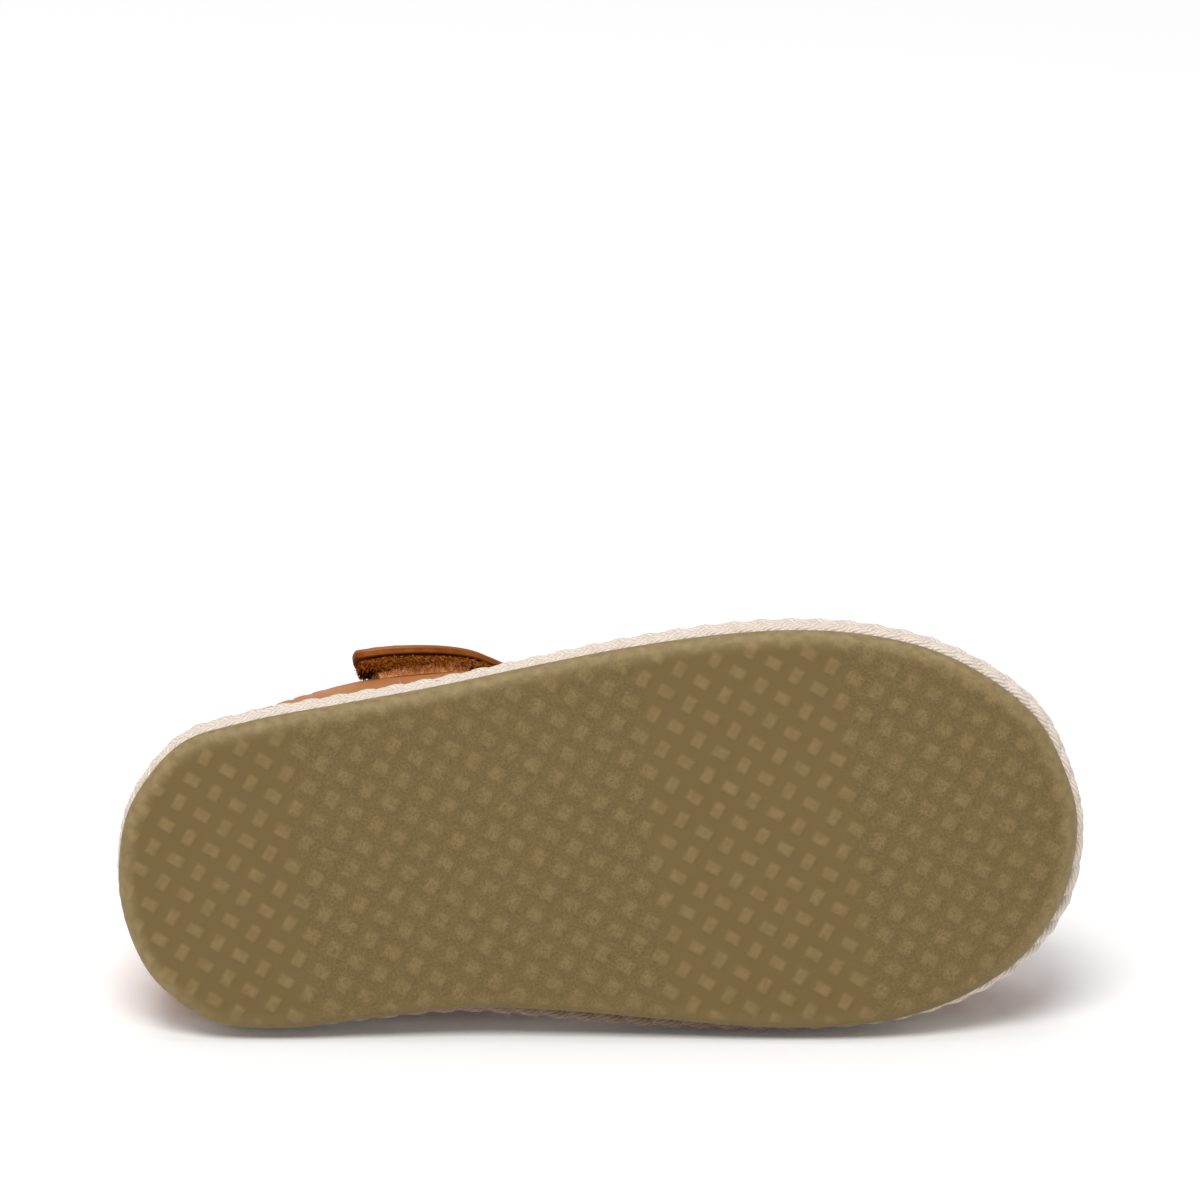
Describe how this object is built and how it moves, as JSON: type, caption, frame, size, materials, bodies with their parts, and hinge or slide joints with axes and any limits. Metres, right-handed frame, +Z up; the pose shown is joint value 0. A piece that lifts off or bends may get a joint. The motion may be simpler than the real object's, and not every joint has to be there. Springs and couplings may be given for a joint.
{
  "type": "fisherman sandal",
  "caption": "Child's right fisherman sandal, lying on its inner side: woven-tread rubber outsole, rope edge, closed heel, leather cage and hook-and-loop ankle strap.",
  "frame": {"origin": "middle of the bounding box, on the floor that the shoe's inner side lies on", "axes": "+X along the shoe, from heel to toe, and level with the floor; +Y away from the tread, towards the opening for the foot; +Z up, towards the shoe's outer side"},
  "size_m": [0.149, 0.0742, 0.0636],
  "materials": {
    "gum_rubber": "moulded, matte",
    "rope_braid": "braided cotton cord",
    "tan_leather": "waxed, soft sheen",
    "footbed_leather": "lining leather, matte",
    "brown_pile": "hook and loop tape"
  },
  "bodies": {
    "root": {"outsole": "gum_rubber", "rope_midsole": "rope_braid", "insole": "footbed_leather", "upper": "tan_leather", "ankle_strap": "tan_leather", "strap_pile_tape": "brown_pile", "quarter_hook_tape": "brown_pile"}
  },
  "joints": []
}
